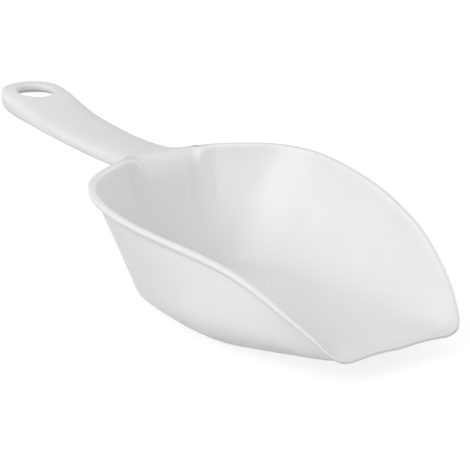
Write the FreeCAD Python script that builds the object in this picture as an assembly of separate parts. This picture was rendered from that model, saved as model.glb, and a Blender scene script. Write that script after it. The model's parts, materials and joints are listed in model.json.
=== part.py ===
import FreeCAD
import Part
import math
import os

# Ice scoop: one thin-walled moulding, modelled as its named zones, which meet face to face.
# +X runs from the handle to the front lip, +Y to the left, +Z up, and z = 0 is the surface it rests on.
# Distances along the scoop are stated backwards from the front edge of the lip.

# ---- driving dimensions (mm) ----
LENGTH = 301.5            # front edge of the lip to the far end of the hanging eye
WIDTH = 130.0             # across the rim at the widest point of the bowl
WALL = 2.2                # wall of the bowl
RIM_OVERHANG = 2.4        # how far the rim flange stands out from the wall
RIM_THICKNESS = 2.0
RIM_OVERHANG_AT_LIP = 0.4
LIP_RAISE = 10.6          # height of the front edge above the resting surface
LIP_EDGE = 1.1            # thickness of the front edge
RAMP_LENGTH = 67.0        # the floor climbs to the lip over this distance
RAMP_POWER = 1.1          # above 1, the climb starts gently

STRAP = 2.6               # thickness of the arched handle strap
EYE_THICKNESS = 3.0
EYE_RADIUS = 17.3
EYE_HEIGHT = 63.8         # height of the eye's upper face at the middle of its hole
EYE_TILT = 5.5            # degrees by which the eye goes on climbing away from the bowl
HANG_HOLE_RADIUS = 9.5
EYE_CENTRE_BACK = 284.0   # distance from the lip to the middle of the hang hole

# ---- outline of one half of the bowl, from the back round to the lip ----
# Outer edge of the rim: (distance back from the lip, half width, height)
RIM_OUTLINE = [
    (168.0, 22.0, 57.4), (161.7, 34.5, 57.3), (150.0, 51.6, 56.7), (132.5, 62.4, 54.6),
    (112.5, WIDTH / 2, 51.5), (85.4, 61.9, 48.0), (65.0, 56.8, 44.9), (46.0, 51.4, 40.5),
    (31.5, 47.0, 34.4), (17.8, 42.2, 26.6), (5.6, 36.2, 17.8), (0.4, 29.6, 12.7),
]
# Edge of the flat floor, where the fillet starts: (distance back from the lip, half width, and the
# outside radius of the fillet, which is tight at the back corners and near the lip)
FLOOR_OUTLINE = [
    (146.4, 16.0, 9.0), (144.4, 22.2, 9.0), (137.8, 27.0, 9.0), (126.0, 30.1, 12.0),
    (109.0, 30.9, 17.0), (86.0, 32.1, 20.0), (67.0, 31.5, 20.0), (49.0, 30.5, 18.0),
    (36.0, 30.0, 15.0), (24.0, 29.8, 11.0), (11.0, 28.0, 7.0), (4.0, 25.5, 5.0),
]
STEPS_PER_SPAN = 3        # wall sections between two outline points
CORNER_ENDS = 3           # outline point where the back corner becomes the side wall
SIDE_ENDS = 6             # outline point where the side wall becomes the front wing

# ---- handle: (distance back from the lip, half width, height of its edges, height of its crown) ----
NECK_SECTIONS = [(164.0, 28.0, 55.6, 57.3), (167.5, 24.5, 54.7, 57.1), (171.0, 20.8, 53.6, 56.3),
                 (176.0, 18.0, 52.5, 55.2), (183.0, 16.6, 51.6, 54.5), (190.0, 16.1, 51.2, 54.2)]
GRIP_SECTIONS = [(190.0, 16.1, 51.2, 54.2), (213.0, 16.0, 51.0, 54.2), (231.0, 16.1, 52.2, 55.3),
                 (250.0, 16.5, 54.4, 57.5), (262.0, 16.9, 56.7, 59.7), (273.0, 17.3, 59.2, 62.2)]


def from_lip(back):
    """X of a point at this distance behind the front edge of the lip."""
    return LENGTH / 2 - back


def floor_height(back):
    """Underside of the floor: flat, then climbing to the lip."""
    climb = max(0.0, (RAMP_LENGTH - back) / RAMP_LENGTH)
    return LIP_RAISE * climb ** RAMP_POWER


def smooth_curve(points):
    """Points spread evenly over each span of a smooth curve through the outline's points."""
    curve = Part.BSplineCurve()
    spans = len(points) - 1
    curve.interpolate(Points=points, Parameters=[float(i) for i in range(spans + 1)])
    return [curve.value(i / STEPS_PER_SPAN) for i in range(spans * STEPS_PER_SPAN + 1)]


def wall_section(floor_point, rim_point, overhang, fillet):
    """Closed section through the wall, in the upright plane through a floor point and a rim point."""
    base = FreeCAD.Vector(floor_point.x, floor_point.y, floor_height(LENGTH / 2 - floor_point.x))
    across = FreeCAD.Vector(rim_point.x - base.x, rim_point.y - base.y, 0)
    reach = across.Length
    across.normalize()

    def at(out, up):
        return base + across * out + FreeCAD.Vector(0, 0, up)

    rim_top = rim_point.z - base.z
    wall_top = rim_top - RIM_THICKNESS
    wall_out = reach - overhang
    rise = fillet - wall_top
    slope = math.atan2(wall_out, rise) - math.acos(fillet / math.hypot(wall_out, rise))

    def on_arc(radius, angle):
        return at(radius * math.sin(angle), fillet - radius * math.cos(angle))

    inner = fillet - WALL
    lift = max(0.0, (RIM_THICKNESS - WALL * math.cos(slope)) / math.sin(slope))
    inner_out = wall_out - WALL * math.sin(slope) + lift * math.cos(slope)
    inner_up = wall_top + WALL * math.cos(slope) + lift * math.sin(slope)
    corners = [on_arc(fillet, slope), at(wall_out, wall_top), at(reach, wall_top), at(reach, rim_top),
               at(inner_out, inner_up), on_arc(inner, slope)]
    edges = [Part.Arc(at(0, 0), on_arc(fillet, slope / 2), corners[0]).toShape()]
    edges += [Part.makeLine(a, b) for a, b in zip(corners, corners[1:])]
    edges.append(Part.Arc(corners[-1], on_arc(inner, slope / 2), at(0, WALL)).toShape())
    edges.append(Part.makeLine(at(0, WALL), at(0, 0)))
    return Part.Wire(edges)


def mirrored(shape):
    """The other half's copy of a shape, across the upright plane through the middle."""
    return shape.mirror(FreeCAD.Vector(0, 0, 0), FreeCAD.Vector(0, 1, 0))


def flat_floor(points):
    """Flat part of the floor, inside the outline's points."""
    edge = [FreeCAD.Vector(p.x, p.y, 0) for p in points]
    edge += [FreeCAD.Vector(p.x, -p.y, 0) for p in reversed(points)]
    return Part.Face(Part.makePolygon(edge + edge[:1])).extrude(FreeCAD.Vector(0, 0, WALL))


def rising_floor(points):
    """Floor that climbs to the lip, as wide as the outline at each point."""
    wires = []
    for p in points:
        low = floor_height(LENGTH / 2 - p.x)
        corners = [(p.x, -p.y, low), (p.x, p.y, low), (p.x, p.y, low + WALL), (p.x, -p.y, low + WALL)]
        wires.append(Part.makePolygon([FreeCAD.Vector(*c) for c in corners + corners[:1]]))
    return Part.makeLoft(wires, True, True)


def front_lip(last_floor_point):
    """The floor's front edge, thinned on its upper side so that it slides under ice."""
    half = last_floor_point.y
    back = last_floor_point.x
    low = floor_height(LENGTH / 2 - back)
    wires = []
    for x, z, thick in [(back, low, WALL), (LENGTH / 2, LIP_RAISE, LIP_EDGE)]:
        corners = [(x, -half, z), (x, half, z), (x, half, z + thick), (x, -half, z + thick)]
        wires.append(Part.makePolygon([FreeCAD.Vector(*c) for c in corners + corners[:1]]))
    return Part.makeLoft(wires, True, True)


def arch_section(back, half, edge_z, crown_z):
    """Arched section across the strap, hollow underneath and the same thickness all the way."""
    rise = crown_z - edge_z
    radius = (half * half + rise * rise) / (2 * rise)
    spread = math.asin(half / radius)
    x = from_lip(back)

    def on_arch(r, angle):
        return FreeCAD.Vector(x, r * math.sin(angle), crown_z - radius + r * math.cos(angle))

    under = radius - STRAP
    edges = [
        Part.Arc(on_arch(radius, -spread), on_arch(radius, 0), on_arch(radius, spread)).toShape(),
        Part.makeLine(on_arch(radius, spread), on_arch(under, spread)),
        Part.Arc(on_arch(under, spread), on_arch(under, 0), on_arch(under, -spread)).toShape(),
        Part.makeLine(on_arch(under, -spread), on_arch(radius, -spread)),
    ]
    return Part.Wire(edges)


def strap(sections):
    """Arched strap through a row of sections."""
    return Part.makeLoft([arch_section(*s) for s in sections], True, True)


def hanging_eye():
    """Flat rounded end of the handle with its hang hole, tilted about the middle of the hole."""
    start = EYE_CENTRE_BACK - GRIP_SECTIONS[-1][0]
    half = GRIP_SECTIONS[-1][1]
    low = -EYE_THICKNESS
    disc = Part.makeCylinder(EYE_RADIUS, EYE_THICKNESS, FreeCAD.Vector(0, 0, low))
    root = Part.makeBox(start, 2 * half, EYE_THICKNESS, FreeCAD.Vector(0, -half, low))
    beyond = Part.makeBox(EYE_RADIUS, 2 * EYE_RADIUS, EYE_THICKNESS,
                          FreeCAD.Vector(start, -EYE_RADIUS, low))
    hole = Part.makeCylinder(HANG_HOLE_RADIUS, EYE_THICKNESS, FreeCAD.Vector(0, 0, low))
    eye = disc.fuse(root).cut(beyond).cut(hole).removeSplitter()
    eye.rotate(FreeCAD.Vector(0, 0, 0), FreeCAD.Vector(0, 1, 0), EYE_TILT)
    eye.translate(FreeCAD.Vector(from_lip(EYE_CENTRE_BACK), 0, EYE_HEIGHT))
    return eye


def bowl():
    """Every zone of the bowl, by name, and the solids that the handle meets."""
    rim = smooth_curve([FreeCAD.Vector(from_lip(b), w, z) for b, w, z in RIM_OUTLINE])
    floor = smooth_curve([FreeCAD.Vector(from_lip(b), w, 0) for b, w, radius in FLOOR_OUTLINE])
    fillets = smooth_curve([FreeCAD.Vector(b, radius, 0) for b, w, radius in FLOOR_OUTLINE])
    side_ends = SIDE_ENDS * STEPS_PER_SPAN
    corner_ends = CORNER_ENDS * STEPS_PER_SPAN
    last = len(rim) - 1
    sections = []
    for i, (f, r, fillet) in enumerate(zip(floor, rim, fillets)):
        towards_lip = max(0.0, (i - side_ends) / (last - side_ends))
        overhang = RIM_OVERHANG + (RIM_OVERHANG_AT_LIP - RIM_OVERHANG) * towards_lip
        sections.append(wall_section(f, r, overhang, fillet.y))

    zones = {"back_wall": Part.makeLoft([sections[0], mirrored(sections[0])], True, True)}
    spans = {"back_corner": (0, corner_ends), "side_wall": (corner_ends, side_ends),
             "front_wing": (side_ends, last)}
    for name, (first, end) in spans.items():
        left = Part.makeLoft(sections[first:end + 1], True, True)
        zones["left_" + name] = left
        zones["right_" + name] = mirrored(left)
    zones["bowl_floor"] = flat_floor(floor[:side_ends + 1])
    zones["front_ramp"] = rising_floor(floor[side_ends:])
    zones["front_lip"] = front_lip(floor[-1])
    return zones


def handle(zones):
    """The neck, trimmed against the back of the bowl, the grip and the eye."""
    neck = strap(NECK_SECTIONS)
    for name in ("back_wall", "left_back_corner", "right_back_corner"):
        neck = neck.cut(zones[name])
    outside = max(neck.Solids, key=lambda s: s.Volume)
    return {"handle_neck": outside, "handle_grip": strap(GRIP_SECTIONS), "hanging_eye": hanging_eye()}


scoop = bowl()
scoop.update(handle(scoop))
os.makedirs("parts", exist_ok=True)
for node, shape in scoop.items():
    shape.exportStep("parts/" + node + ".step")
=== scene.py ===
import json
import math

import bmesh
import bpy
import numpy as np
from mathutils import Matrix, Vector


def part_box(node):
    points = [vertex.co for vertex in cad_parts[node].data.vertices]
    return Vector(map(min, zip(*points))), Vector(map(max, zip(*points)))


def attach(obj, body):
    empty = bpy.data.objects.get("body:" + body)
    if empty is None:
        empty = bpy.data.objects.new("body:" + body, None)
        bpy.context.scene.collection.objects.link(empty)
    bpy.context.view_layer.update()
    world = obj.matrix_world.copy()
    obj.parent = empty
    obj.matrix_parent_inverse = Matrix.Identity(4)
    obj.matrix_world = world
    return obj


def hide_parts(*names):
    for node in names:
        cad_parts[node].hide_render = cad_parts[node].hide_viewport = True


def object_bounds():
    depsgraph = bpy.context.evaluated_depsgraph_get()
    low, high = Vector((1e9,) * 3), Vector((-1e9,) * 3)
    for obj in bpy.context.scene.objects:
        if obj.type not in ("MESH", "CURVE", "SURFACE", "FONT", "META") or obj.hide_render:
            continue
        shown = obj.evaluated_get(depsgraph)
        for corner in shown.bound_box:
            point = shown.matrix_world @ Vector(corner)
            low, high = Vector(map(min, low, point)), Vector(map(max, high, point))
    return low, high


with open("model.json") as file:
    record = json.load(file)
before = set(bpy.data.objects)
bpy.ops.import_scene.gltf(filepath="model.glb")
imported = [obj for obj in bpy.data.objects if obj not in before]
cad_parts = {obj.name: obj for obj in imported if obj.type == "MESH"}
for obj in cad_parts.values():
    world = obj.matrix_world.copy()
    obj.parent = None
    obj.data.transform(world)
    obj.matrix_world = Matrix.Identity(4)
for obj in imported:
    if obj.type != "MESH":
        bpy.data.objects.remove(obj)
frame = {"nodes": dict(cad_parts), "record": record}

cad_low, cad_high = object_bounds()

# ---------------------------------------------------------------------------------------------
# The camera: looks down on the open bowl from its front right, with the handle going away to
# the upper left. It aims at the middle of the bowl.
# ---------------------------------------------------------------------------------------------
MM = 0.001
AIM_BEHIND_LIP = 113.1 * MM
AIM_HEIGHT = 30.4 * MM
CAMERA_DISTANCE = 0.8869
CAMERA_AZIMUTH = math.radians(54.0)
CAMERA_ELEVATION = math.radians(17.23)

camera_data = bpy.data.cameras.new("studio_camera")
camera_data.sensor_width = 36.0
camera_data.lens = 153.2
camera = bpy.data.objects.new("studio_camera", camera_data)
bpy.context.scene.collection.objects.link(camera)
towards_camera = Vector((math.sin(CAMERA_AZIMUTH) * math.cos(CAMERA_ELEVATION),
                         -math.cos(CAMERA_AZIMUTH) * math.cos(CAMERA_ELEVATION),
                         math.sin(CAMERA_ELEVATION)))
aim = Vector((cad_high.x - AIM_BEHIND_LIP, 0, AIM_HEIGHT))
camera.location = aim + towards_camera * CAMERA_DISTANCE
camera.rotation_euler = towards_camera.to_track_quat("Z", "Y").to_euler()
bpy.context.scene.camera = camera

# ---------------------------------------------------------------------------------------------
# The bowl: a thin shell of natural polypropylene, injection moulded in one shot with the handle.
# Its wall is drawn here as a section that is carried round from the back to the front lip.
# Half of the scoop is built in millimetres, and the other half is its mirror image.
# ---------------------------------------------------------------------------------------------
LIP_X = cad_high.x / MM
HALF_WIDTH = cad_high.y / MM
RIM_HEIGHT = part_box("back_wall")[1].z / MM
LIP_RAISE = 10.6
LIP_EDGE = 1.1
WALL = 2.2
WALL_AT_RIM = 1.6
RIM_THICKNESS = 2.2
RIM_THINS_OVER = (2.0, 32.0)   # behind the lip: from the lip's thickness to the rim's
EDGE_RADIUS = 0.9              # rounding of the rim's free edge
INNER_EDGE_RADIUS = 1.1        # rounding where the rim turns down into the bowl
OUTER_TURN_RADIUS = 0.6        # the corner below the rim
UNDER_HANDLE_RADIUS = 1.5      # the same corner where the handle joins
NARROWEST_RIM = 0.8
ROLL_DEPTH = 0.26              # share of the wall's height over which the handle rolls in
ROLL_HALF_WIDTH = (15.0, 21.0) # full roll-over inside the first, none outside the second
RAMP_START = 66.0
RAMP_BEND = 6.0
FLOOR_MIDDLE = (24.0, 124.0)   # the middle line of the floor's mesh, behind the lip

# Round one half: rim (behind the lip, half width, height), edge of the flat floor (behind the lip,
# half width), how far the rim stands out from the wall, and the radius from the floor to the wall.
# The first three meet the handle.
OUTLINE = [
    ((174.0, 0.0, RIM_HEIGHT - 1.2), (147.4, 0.0), 8.6, 9.0),
    ((173.6, 10.5, RIM_HEIGHT - 1.5), (147.2, 8.0), 8.2, 9.0),
    ((170.4, 20.6, RIM_HEIGHT - 0.9), (146.6, 15.0), 5.0, 9.0),
    ((167.2, 25.6, RIM_HEIGHT - 0.3), (146.0, 18.2), 2.8, 9.0),
    ((161.7, 34.5, RIM_HEIGHT - 0.1), (144.4, 22.2), 2.4, 9.0),
    ((150.0, 51.6, RIM_HEIGHT - 0.7), (137.8, 27.0), 2.6, 9.0),
    ((132.5, 62.4, 54.6), (125.5, 30.1), 2.4, 12.0),
    ((112.5, HALF_WIDTH, 51.5), (108.5, 30.9), 2.2, 17.0),
    ((85.4, 61.9, 48.0), (86.0, 32.1), 2.0, 20.0),
    ((65.0, 56.8, 44.9), (67.0, 31.5), 1.8, 20.0),
    ((46.0, 51.4, 40.5), (50.0, 30.4), 1.5, 18.0),
    ((31.5, 47.0, 34.4), (37.5, 29.8), 1.2, 15.0),
    ((17.8, 42.2, 26.6), (25.0, 29.2), 0.8, 11.0),
    ((5.6, 36.2, 17.8), (12.5, 28.4), 0.4, 7.0),
    ((1.3, 32.8, 13.6), (9.0, 27.0), 0.3, 5.5),
    ((0.3, 28.6, LIP_RAISE + LIP_EDGE), (8.0, 24.5), 0.25, 5.0),
    ((0.1, 20.0, LIP_RAISE + LIP_EDGE), (7.6, 17.5), 0.25, 5.0),
    ((0.0, 0.0, LIP_RAISE + LIP_EDGE), (7.6, 0.0), 0.25, 5.0),
]
HANDLE_MEETS_RIM = 2           # place in OUTLINE where the rim's edge turns off along the handle
STATION_SPACING = 1.7
ARC_STEPS = 9
WALL_STEPS = 10
CORNER_STEPS = 7
EDGE_STEPS = 4
FEWEST_STATIONS = 5
FLOOR_STEPS = 9
SAME_PLACE = 1e-6


def natural_spline(knots, values):
    """A smooth curve through the values, as a function that takes an array of places along it."""
    t = np.asarray(knots, float)
    y = np.asarray(values, float)
    y = y.reshape(len(t), -1)
    h = np.diff(t)
    m = np.eye(len(t))
    rhs = np.zeros_like(y)
    for i in range(1, len(t) - 1):
        m[i, i - 1:i + 2] = h[i - 1], 2 * (h[i - 1] + h[i]), h[i]
        rhs[i] = 6 * ((y[i + 1] - y[i]) / h[i] - (y[i] - y[i - 1]) / h[i - 1])
    bend = np.linalg.solve(m, rhs)

    def at(x):
        x = np.atleast_1d(np.asarray(x, float))
        i = np.clip(np.searchsorted(t, x, side="right") - 1, 0, len(t) - 2)
        a = (t[i + 1] - x)[:, None]
        b = (x - t[i])[:, None]
        w = h[i][:, None]
        value = (bend[i] * a ** 3 + bend[i + 1] * b ** 3) / (6 * w)
        value = value + (y[i] / w - bend[i] * w / 6) * a + (y[i + 1] / w - bend[i + 1] * w / 6) * b
        return value

    return at


def gentle(knots):
    """A smooth height or width along the scoop, from a few (place, value) pairs."""
    curve = natural_spline([k[0] for k in knots], [k[1] for k in knots])
    return lambda x: float(curve(x)[0, 0])


def rounded(points, radii, steps):
    """A path's corners, each replaced by an arc of the given radius and number of points."""
    most = 0.45                # share of the shorter run beside a corner that its arc may use
    almost_straight = 1.55
    path = []
    for before, corner, after, radius in zip(points, points[1:], points[2:], radii):
        before, corner, after = (np.asarray(p, float) for p in (before, corner, after))
        into = before - corner
        out = after - corner
        room = min(np.linalg.norm(into), np.linalg.norm(out))
        into = into / max(np.linalg.norm(into), 1e-9)
        out = out / max(np.linalg.norm(out), 1e-9)
        half = math.acos(np.clip(into @ out, -1, 1)) / 2
        cut = 0.3 * room
        if half < almost_straight:
            cut = min(radius / max(math.tan(half), 1e-6), most * room)
        start, end = corner + into * cut, corner + out * cut
        for k in range(steps):
            u = k / (steps - 1)
            # A quadratic with a weight draws the true arc between the two straight runs.
            w = math.sin(half)
            a, b, c = (1 - u) ** 2, 2 * u * (1 - u) * w, u * u
            path.append((a * start + b * corner + c * end) / (a + b + c))
    return path


def floor_height(behind):
    """Underside of the floor: flat below the bowl, with a gentle bend up to the lip."""
    run = RAMP_START - behind
    climb = (run + np.sqrt(run * run + RAMP_BEND ** 2)) / 2
    full = (RAMP_START + math.sqrt(RAMP_START ** 2 + RAMP_BEND ** 2)) / 2
    return LIP_RAISE * climb / full


rim_points = np.array([o[0] for o in OUTLINE])
floor_points = np.array([o[1] for o in OUTLINE])
overhangs = np.array([o[2] for o in OUTLINE])
spans = np.linalg.norm(np.diff(rim_points[:, :2], axis=0), axis=1)
along = np.concatenate([[0.0], np.cumsum(spans)])
rim_curve = natural_spline(along, rim_points)
floor_curve = natural_spline(along, floor_points)
places = [0.0]
for start, length in zip(along, spans):
    pieces = max(FEWEST_STATIONS, int(math.ceil(length / STATION_SPACING)))
    places += [start + length * (k + 1) / pieces for k in range(pieces)]
    if start + length <= along[HANDLE_MEETS_RIM] + SAME_PLACE:
        meeting = len(places) - 1
places = np.array(places)
rim = rim_curve(places)
floor = floor_curve(places)
floor[:, 1] = np.maximum(floor[:, 1], 0.0)
rim[-1, 1] = floor[-1, 1] = 0.0
overhang = np.interp(places, along, overhangs)
fillets = np.interp(places, along, [o[3] for o in OUTLINE])

vertices = []
faces = []


def place(behind, half, z):
    """Adds a vertex and returns its number."""
    vertices.append((LIP_X - behind, max(half, 0.0), z))
    return len(vertices) - 1


def join(first, second):
    """Quads between two rows of vertices."""
    for a, b, c, d in zip(first, first[1:], second[1:], second):
        faces.append((a, b, c, d))


def blend_rolls(tight, start, corner, end, share):
    """Between a tight edge and a wide roll-over that passes from start to end below the corner."""
    count = len(tight)
    wide = [(1 - u) ** 2 * start + 2 * u * (1 - u) * corner + u * u * end
            for u in np.arange(count) / count]
    return [a * (1 - share) + b * share for a, b in zip(tight, wide)]


def wall_section(i):
    """The wall's section at one station: outside, edge and inside vertices, from the floor up."""
    floor_behind, floor_half = floor[i]
    rim_behind, rim_half, rim_z = rim[i]
    base = floor_height(floor_behind)
    outwards = np.array([rim_behind - floor_behind, rim_half - floor_half])
    reach = np.linalg.norm(outwards)
    outwards = outwards / reach

    def at(out, up):
        return place(floor_behind + outwards[0] * out, floor_half + outwards[1] * out, base + up)

    thin_at, full_at = RIM_THINS_OVER
    full = np.clip((rim_behind - thin_at) / (full_at - thin_at), 0.0, 1.0)
    edge = LIP_EDGE + (RIM_THICKNESS - LIP_EDGE) * full
    fall = floor_height(floor_behind - 0.5) - floor_height(floor_behind + 0.5)
    lean = math.atan(fall * -outwards[0])
    high = rim_z - base
    low = high - edge
    gap = overhang[i]
    wall_out = reach - gap
    fillet = fillets[i]
    share = chute[i]
    # Outside: the fillet, then the straight wall.
    centre = np.array([-fillet * math.sin(lean), fillet * math.cos(lean)])
    across, drop = wall_out - centre[0], centre[1] - low
    slope = math.atan2(across, drop) - math.acos(min(1.0, fillet / math.hypot(across, drop)))
    slope = max(slope, lean + 0.01)
    outside = [centre + fillet * np.array([math.sin(a), -math.cos(a)])
               for a in np.linspace(lean, slope, ARC_STEPS)]
    wall_top = np.array([wall_out, low])
    rise = outside[-1]
    wall_end = wall_top + (rise - wall_top) * ROLL_DEPTH * share
    outside += [rise + (wall_end - rise) * k / WALL_STEPS for k in range(1, WALL_STEPS)]
    normal = np.array([-math.sin(slope), math.cos(slope)])
    direction = np.array([math.cos(slope), math.sin(slope)])
    thick = min(edge, WALL_AT_RIM)
    lift = max(0.0, (edge - thick * math.cos(slope)) / max(math.sin(slope), 0.2))
    inner_top = wall_top + normal * thick + direction * lift
    inner_top[1] = high
    inner_top[0] = min(inner_top[0], reach - NARROWEST_RIM)
    if i < meeting:
        # The handle's underside and upper face go on from here.
        under = np.array([reach, low])
        outer_roll = rounded([rise, wall_top, under], [UNDER_HANDLE_RADIUS], CORNER_STEPS)
        outside += blend_rolls(outer_roll, wall_end, wall_top, under, share)
        outside.append(under)
        edge_rows = []
        shoulder = np.array([reach, high])
    else:
        # A free edge: out below the flange, round its edge and back to its top.
        under = np.array([reach - 0.6 * gap, low])
        turn = min(OUTER_TURN_RADIUS, 0.3 * gap)
        outside += rounded([outside[-1], wall_top, under], [turn], CORNER_STEPS)
        outside.append(under)
        radius = min(EDGE_RADIUS, 0.45 * edge)
        shoulder = np.array([reach - 1.2 * radius - 0.1, high])
        path = [under, np.array([reach - 0.45 * gap, low]), np.array([reach - 0.3 * gap, low]),
                np.array([reach, low]), np.array([reach, high]), shoulder]
        edge_rows = rounded(path, [0.1, 0.1, radius, radius], EDGE_STEPS)
    # Inside: from the top of the rim down the wall and round the fillet.
    roll = min(INNER_EDGE_RADIUS, 0.45 * edge)
    inner_arc = [centre + (fillet - WALL) * np.array([math.sin(a), -math.cos(a)])
                 for a in np.linspace(slope, lean, ARC_STEPS)]
    wall_foot = inner_arc[0]
    drop_to = inner_top + (wall_foot - inner_top) * ROLL_DEPTH
    inner_roll = rounded([shoulder, inner_top, wall_foot], [roll], CORNER_STEPS + 2)
    inner_roll = blend_rolls(inner_roll[::-1], drop_to, inner_top, shoulder, share)[::-1]
    inside = [shoulder] + inner_roll
    start = inside[-1]
    inside += [start + (wall_foot - start) * k / WALL_STEPS for k in range(1, WALL_STEPS)]
    inside += inner_arc
    return ([at(*p) for p in outside], [at(*p) for p in edge_rows], [at(*p) for p in inside])


def whole_edge(station):
    """The rim's edge with the vertices that it shares with the outside and the inside."""
    outside, edge_rows, inside = station
    return [outside[-1]] + edge_rows + [inside[0]]


# The roll-over into the bowl is largest at the middle of the handle and gone beside it.
full_roll, no_roll = ROLL_HALF_WIDTH
chute = np.clip((no_roll - rim[:, 1]) / (no_roll - full_roll), 0.0, 1.0)
chute = chute * chute * (3 - 2 * chute)
chute[places > along[HANDLE_MEETS_RIM]] = 0.0
stations = [wall_section(i) for i in range(len(places))]
for i, (this, after) in enumerate(zip(stations, stations[1:])):
    join(this[0], after[0])
    join(this[2], after[2])
    if i >= meeting:
        join(whole_edge(this), whole_edge(after))

# The floor: rows of vertices that run in from the foot of the wall to a line down the middle.
outer_feet = [outside[0] for outside, edge_rows, inside in stations]
inner_feet = [inside[-1] for outside, edge_rows, inside in stations]
for feet, lift in ((outer_feet, 0.0), (inner_feet, WALL)):
    rows = []
    for foot in feet:
        x, y, z = vertices[foot]
        behind = LIP_X - x
        middle = np.clip(behind, *FLOOR_MIDDLE)
        row = [foot]
        for k in range(1, FLOOR_STEPS + 1):
            u = k / FLOOR_STEPS
            s = behind + (middle - behind) * u
            row.append(place(s, y * (1 - u), floor_height(s) + lift))
        rows.append(row)
    for first, second in zip(rows, rows[1:]):
        join(first, second)

# ---------------------------------------------------------------------------------------------
# The handle: an arched strap, hollow below, that flares into the rim and ends in a flat round
# eye with a hang hole. It is the same shot of plastic as the bowl, so it shares its vertices.
# ---------------------------------------------------------------------------------------------
hang_hole = next(m for m in frame["record"]["mounts"] if m["name"] == "hang_hole")
HOLE_RADIUS = hang_hole["dims"]["r_mm"]
EYE_BEHIND = LIP_X - hang_hole["pos_m"][0] / MM
EYE_RADIUS = (hang_hole["pos_m"][0] - cad_low.x) / MM
EYE_THICKNESS = 3.0
STRAP = 2.3
STRAP_THICKENS = (262.0, 284.0)   # behind the lip: from the strap's thickness to the eye's
SKIRT = 2.3                       # thickness of the strap's turned-down edges
SKIRT_RADII = [0.8, 0.7, 0.9, 1.1]
EDGE_INSET = 1.3                  # where the upper face starts, in from the edge
UNDER_INSET = 3.4                 # where the hollow's roof starts, in from the edge
HOLE_ROUND = 0.7
ROOT_BEHIND = OUTLINE[0][0][0]
EDGE_START, ROOT_HALF = OUTLINE[HANDLE_MEETS_RIM][0][:2]
CURL_FROM = 0.55                  # along the grip, where its rows start to follow the eye
ROW_SPACING = 2.2
EYE_RINGS = 6
BORE_STEPS = 5

crown_height = gentle([(167, RIM_HEIGHT - 0.2), (171, RIM_HEIGHT - 0.6), (177, 55.6), (184, 54.8),
                       (193, 54.3), (205, 54.1), (216, 54.4), (231, 55.5), (250, 57.6),
                       (260, 59.4), (270, 61.7), (277, 63.2), (284, 64.0), (291, 64.7), (302, 65.4)])
skirt_foot = gentle([(170, 54.6), (173, 53.0), (178, 50.6), (184, 48.9), (193, 48.1), (208, 48.6),
                     (226, 49.5), (245, 51.1), (264, 52.9), (276, 54.3), (283, 55.4),
                     (287.5, 57.0), (291, 58.4), (294, 59.0), (302, 59.4)])
arch_depth = gentle([(167, 0.3), (171, 0.8), (177, 2.7), (184, 4.3), (193, 5.0), (226, 5.0),
                     (250, 5.2), (264, 5.2), (274, 4.6), (284, 3.0), (292, 1.2), (297, 0.6),
                     (302, 0.45)])
fullness = gentle([(167, 2.2), (180, 2.6), (193, 2.8), (250, 2.8), (270, 2.9), (284, 3.2),
                   (302, 3.6)])
strap_half = gentle([(EDGE_START, ROOT_HALF), (172.8, 18.8), (176, 17.6), (181, 16.7), (188, 16.15),
                     (200, 15.9), (213, 15.9), (231, 16.1), (250, 16.5), (262, 16.9),
                     (273, 17.3), (EYE_BEHIND, EYE_RADIUS)])


def top_height(behind, half):
    """Upper face of the handle: full and rounded across the grip, and flat at the tip of the eye."""
    if behind < EYE_BEHIND:
        share = abs(half) / strap_half(max(behind, EDGE_START))
    else:
        share = math.hypot(behind - EYE_BEHIND, half) / EYE_RADIUS
    share = min(share, 1.0)
    power = fullness(behind)
    depth = arch_depth(behind)
    return crown_height(behind) - depth * (1 - (1 - share ** power) ** (1 / power))


def under_height(behind, half):
    """Hollow underside of the handle, one thickness below the upper face."""
    thin_to, thick_from = STRAP_THICKENS
    share = np.clip((behind - thin_to) / (thick_from - thin_to), 0, 1)
    return top_height(behind, half) - STRAP - (EYE_THICKNESS - STRAP) * share


def handle_edge(s, w, normal):
    """Vertices round the handle's edge and turned-down skirt, with normal pointing out in plan."""
    foot = skirt_foot(s)
    inner = under_height(s - normal[0] * UNDER_INSET, w - normal[1] * UNDER_INSET)
    roof = max(inner, foot + 0.02)
    shoulder = top_height(s - normal[0] * EDGE_INSET, w - normal[1] * EDGE_INSET)
    path = [np.array(p) for p in [(-UNDER_INSET, inner), (-SKIRT, roof), (-SKIRT, foot), (0, foot),
                                  (0, top_height(s, w)), (-EDGE_INSET, shoulder)]]
    rows = [path[0]] + rounded(path, SKIRT_RADII, EDGE_STEPS) + [path[-1]]
    return [place(s + normal[0] * out, w + normal[1] * out, z) for out, z in rows]


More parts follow.
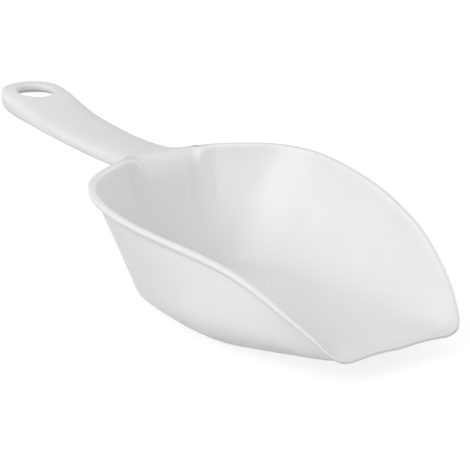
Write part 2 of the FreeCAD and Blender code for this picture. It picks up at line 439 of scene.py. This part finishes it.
COLUMNS = meeting
grip_length = EYE_BEHIND - EDGE_START
row_places = np.linspace(0, 1, int(grip_length / ROW_SPACING) + 1)[1:]
first_top = [stations[i][2][0] for i in range(meeting + 1)]
first_under = [stations[i][0][-1] for i in range(meeting + 1)]
previous = (first_under, whole_edge(stations[meeting]), first_top)
for u in row_places:
    s_edge = EDGE_START + grip_length * u
    w_edge = strap_half(s_edge)
    lead = np.array([0.02, strap_half(s_edge + 0.01) - strap_half(s_edge - 0.01)])
    lead = lead / np.linalg.norm(lead)
    normal = np.array([-lead[1], lead[0]])
    edge = handle_edge(s_edge, w_edge, normal)
    curl = np.clip((u - CURL_FROM) / (1 - CURL_FROM), 0, 1) ** 1.5
    rows = []
    for inset, end, height in ((UNDER_INSET, edge[0], under_height),
                               (EDGE_INSET, edge[-1], top_height)):
        s_in, w_in = s_edge - normal[0] * inset, w_edge - normal[1] * inset
        s_mid = ROOT_BEHIND + (EYE_BEHIND - (EYE_RADIUS - inset) - ROOT_BEHIND) * u
        row = []
        for c in range(COLUMNS):
            q = c / COLUMNS
            bow = (1 - curl) * q * q + curl * (1 - math.cos(q * math.pi / 2))
            reach = (1 - curl) * q + curl * math.sin(q * math.pi / 2)
            s, w = s_mid + (s_in - s_mid) * bow, w_in * reach
            row.append(place(s, w, height(s, w)))
        rows.append(row + [end])
    current = (rows[0], edge, rows[1])
    for before, after in zip(previous, current):
        join(before, after)
    previous = current

# The eye: rings of vertices from its outer edge in to the hole.
end_edges = [previous[1]]
for c in range(1, COLUMNS + 1):
    a = c / COLUMNS * math.pi / 2
    normal = np.array([math.sin(a), math.cos(a)])
    rim_s, rim_w = EYE_BEHIND + EYE_RADIUS * normal[0], EYE_RADIUS * normal[1]
    end_edges.append(handle_edge(rim_s, rim_w, normal))
    join(end_edges[-2], end_edges[-1])
hole_rows = []
for inset, outer, height in ((UNDER_INSET, [e[0] for e in end_edges], under_height),
                             (EDGE_INSET, [e[-1] for e in end_edges], top_height)):
    near = previous[0] if height is under_height else previous[2]
    ring = near + outer[1:]
    for k in range(1, EYE_RINGS + 1):
        width = EYE_RADIUS - inset - HOLE_RADIUS - HOLE_ROUND
        radius = EYE_RADIUS - inset - width * k / EYE_RINGS
        row = []
        for c in range(2 * COLUMNS + 1):
            a = c / COLUMNS * math.pi / 2
            s, w = EYE_BEHIND - radius * math.cos(a), radius * math.sin(a)
            row.append(place(s, w, height(s, w)))
        join(ring, row)
        ring = row
    hole_rows.append(ring)
lower, upper = hole_rows
bore = []
for c in range(2 * COLUMNS + 1):
    a = c / COLUMNS * math.pi / 2
    z_low, z_high = vertices[lower[c]][2], vertices[upper[c]][2]
    path = [(HOLE_RADIUS + HOLE_ROUND, z_low), (HOLE_RADIUS, z_low), (HOLE_RADIUS, z_high),
            (HOLE_RADIUS + HOLE_ROUND, z_high)]
    points = rounded(path, [HOLE_ROUND * 0.9] * 2, BORE_STEPS)
    ring = [place(EYE_BEHIND - r * math.cos(a), r * math.sin(a), z) for r, z in points]
    bore.append([lower[c]] + ring + [upper[c]])
for first, second in zip(bore, bore[1:]):
    join(first, second)

# Both halves as one closed skin, joined along the middle.
MERGE_WITHIN = 4e-6            # metres
count = len(vertices)
whole = vertices + [(x, -y, z) for x, y, z in vertices]
skin_faces = faces + [tuple(v + count for v in reversed(f)) for f in faces]
mesh = bpy.data.meshes.new("scoop_moulding")
mesh.from_pydata([(x * MM, y * MM, z * MM) for x, y, z in whole], [], skin_faces)
skin = bmesh.new()
skin.from_mesh(mesh)
bmesh.ops.remove_doubles(skin, verts=skin.verts, dist=MERGE_WITHIN)
bmesh.ops.dissolve_degenerate(skin, edges=skin.edges, dist=MERGE_WITHIN / 2)
bmesh.ops.recalc_face_normals(skin, faces=skin.faces)
for face in skin.faces:
    face.smooth = True
skin.to_mesh(mesh)
skin.free()
scoop = bpy.data.objects.new("scoop_moulding", mesh)
bpy.context.scene.collection.objects.link(scoop)
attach(scoop, "root")
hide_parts(*frame["nodes"])


# ---------------------------------------------------------------------------------------------
# Natural polypropylene: milky and slightly translucent, with a satin skin from the mould. It is
# the one material of the scoop, and shows faint flow marks, fine grain and rubbing by ice.
# ---------------------------------------------------------------------------------------------
class Wire:
    """A value in a shader. Sums and products of such values become maths nodes."""

    def __init__(self, tree, socket=None):
        self.tree = tree
        self.socket = socket

    def node(self, kind, settings, inputs, output=0):
        """Adds a node: its type, its settings, and the values or links of its sockets."""
        made = self.tree.nodes.new("ShaderNode" + kind)
        for name, value in settings.items():
            setattr(made, name, value)
        for name, value in inputs.items():
            if isinstance(value, Wire):
                self.tree.links.new(value.socket, made.inputs[name])
            else:
                made.inputs[name].default_value = value
        return Wire(self.tree, made.outputs[output])

    def maths(self, operation, *values):
        return self.node("Math", {"operation": operation}, dict(enumerate(values)))

    def __add__(self, other):
        return self.maths("ADD", self, other)

    def __radd__(self, other):
        return self.maths("ADD", other, self)

    def __mul__(self, other):
        return self.maths("MULTIPLY", self, other)

    def __rmul__(self, other):
        return self.maths("MULTIPLY", other, self)

    def ramp(self, low, high):
        """Goes smoothly from 0 to 1 while this value goes from low to high."""
        return self.node("MapRange", {"interpolation_type": "SMOOTHSTEP"},
                         {"Value": self, "From Min": low, "From Max": high})

    def stretched(self, x, y, z):
        """This position, scaled differently along each axis."""
        return self.node("VectorMath", {"operation": "MULTIPLY"}, {0: self, 1: (x, y, z)})

    def noise(self, scale, detail, roughness):
        """Noise at this position."""
        return self.node("TexNoise", {}, {"Vector": self, "Scale": scale, "Detail": detail,
                                          "Roughness": roughness})

    def blend(self, first, second):
        """Mixes two colours, with this value as the share of the second."""
        return self.node("Mix", {"data_type": "RGBA"}, {0: self, 6: first, 7: second}, output=2)


MILKY = (0.84, 0.84, 0.84, 1)
CLOUDY = (0.815, 0.815, 0.82, 1)
WHITENING_AND_EDGE_HIGHLIGHT = (0.88, 0.88, 0.88, 1)
RUBBED = (0.80, 0.80, 0.795, 1)

plastic = bpy.data.materials.new("natural_polypropylene")
plastic.use_nodes = True
shader = plastic.node_tree.nodes["Principled BSDF"]
where = Wire(plastic.node_tree).node("TexCoord", {}, {}, output="Object")
forward = where.node("SeparateXYZ", {}, {"Vector": where}, output="X")
height = where.node("SeparateXYZ", {}, {"Vector": where}, output="Z")

# Flow marks fan out gently along the length; clouding is broad and soft.
cloud = where.noise(22.0, 3.0, 0.55).ramp(0.38, 0.66)
flow = where.stretched(9.0, 42.0, 30.0).noise(3.0, 4.0, 0.6).ramp(0.40, 0.72)
# Ice and the bin rub the lip and the front of the floor in streaks along the scoop.
near_lip = forward.ramp(0.080, 0.150)
at_edge = forward.ramp(0.1475, 0.1505)
low_down = height.ramp(0.016, 0.004)
streaks = where.stretched(14.0, 900.0, 260.0).noise(1.0, 5.0, 0.7)
rubbing = streaks.ramp(0.4, 0.8) * (0.1 + 0.9 * near_lip) * (0.15 + 0.85 * low_down)
# The mould's skin: fine spark-eroded grain, and the slow ripple of cooling plastic.
grain = where.noise(700.0, 2.0, 0.6)
ripple = where.noise(60.0, 2.0, 0.5)
# Convex edges, found from the mesh's pointiness: their lighter colour is partly stress whitening of
# the plastic and partly a painted highlight along the rounded edges.
edges = where.node("NewGeometry", {}, {}, output="Pointiness").ramp(0.51, 0.62)

colour = (cloud * 0.55 + flow * 0.3).blend(MILKY, CLOUDY)
colour = (rubbing * 0.5).blend(colour, RUBBED)
# Painted highlight and stress whitening: convex edges, and the front of the lip where the plastic is
# whitened, are mixed towards a whiter colour.
colour = (edges * 0.5 + at_edge * 0.35).blend(colour, WHITENING_AND_EDGE_HIGHLIGHT)
roughness = 0.31 + 0.08 * cloud + 0.05 * flow + 0.16 * rubbing + 0.06 * edges
surface = ripple * 0.6 + grain * 0.01 + rubbing * 0.03
bump = where.node("Bump", {}, {"Height": surface, "Strength": 0.2, "Distance": 1.2 * MM},
                  output="Normal")

links = plastic.node_tree.links
links.new(colour.socket, shader.inputs["Base Color"])
links.new(roughness.socket, shader.inputs["Roughness"])
links.new(bump.socket, shader.inputs["Normal"])
shader.inputs["IOR"].default_value = 1.49
shader.inputs["Subsurface Weight"].default_value = 1.0
shader.inputs["Subsurface Radius"].default_value = (1, 1, 1)
shader.inputs["Subsurface Scale"].default_value = 0.005
scoop.data.materials.append(plastic)

# ---------------------------------------------------------------------------------------------
# The studio: a glowing white table that takes a soft shadow, a surround that is brighter above
# than below, and two soft lights: a large one in front of the bowl and a weaker one behind it.
# ---------------------------------------------------------------------------------------------
FLOOR_HALF = 4.0
PAPER = (0.3, 0.3, 0.3, 1)
WHITE = (1, 1, 1, 1)
BRIGHTEST_FROM = (-0.1, -0.4, 0.91)
SURROUND_FROM, SURROUND_TO = 0.14, 0.78
SOFT_LIGHTS = [("soft_box", (0.4, -1.2, 0.72), (1.0, 1.0), 10.0),
               ("back_light", (-0.15, 1.3, 0.38), (1.2, 0.8), 4.0)]

bpy.context.scene.view_settings.view_transform = "Standard"
floor_mesh = bpy.data.meshes.new("studio_floor")
corners = [(x * FLOOR_HALF, y * FLOOR_HALF, 0) for x, y in ((-1, -1), (1, -1), (1, 1), (-1, 1))]
floor_mesh.from_pydata(corners, [], [(0, 1, 2, 3)])
studio_floor = bpy.data.objects.new("studio_floor", floor_mesh)
bpy.context.scene.collection.objects.link(studio_floor)
paper = bpy.data.materials.new("white_paper")
paper.use_nodes = True
sheet = paper.node_tree.nodes["Principled BSDF"].inputs
sheet["Base Color"].default_value = PAPER
sheet["Emission Color"].default_value = WHITE
sheet["Emission Strength"].default_value = 0.78
sheet["Roughness"].default_value = 0.9
floor_mesh.materials.append(paper)
studio_floor.visible_diffuse = False

surround = bpy.data.worlds.new("studio_surround")
surround.use_nodes = True
direction = Wire(surround.node_tree).node("TexCoord", {}, {}, output="Generated")
facing = direction.node("VectorMath", {"operation": "DOT_PRODUCT"},
                        {0: direction, 1: BRIGHTEST_FROM}, output="Value")
brightness = facing.node("MapRange", {}, {"Value": facing, "From Min": -1.0, "From Max": 1.0,
                                          "To Min": SURROUND_FROM, "To Max": SURROUND_TO})
backdrop = surround.node_tree.nodes["Background"].inputs
surround.node_tree.links.new(brightness.socket, backdrop["Strength"])
backdrop["Color"].default_value = WHITE
bpy.context.scene.world = surround

for name, offset, size, energy in SOFT_LIGHTS:
    light_data = bpy.data.lights.new(name, "AREA")
    light_data.shape = "RECTANGLE"
    light_data.size, light_data.size_y = size
    light_data.energy = energy
    lamp = bpy.data.objects.new(name, light_data)
    bpy.context.scene.collection.objects.link(lamp)
    lamp.location = aim + Vector(offset)
    lamp.rotation_euler = Vector(offset).to_track_quat("Z", "Y").to_euler()
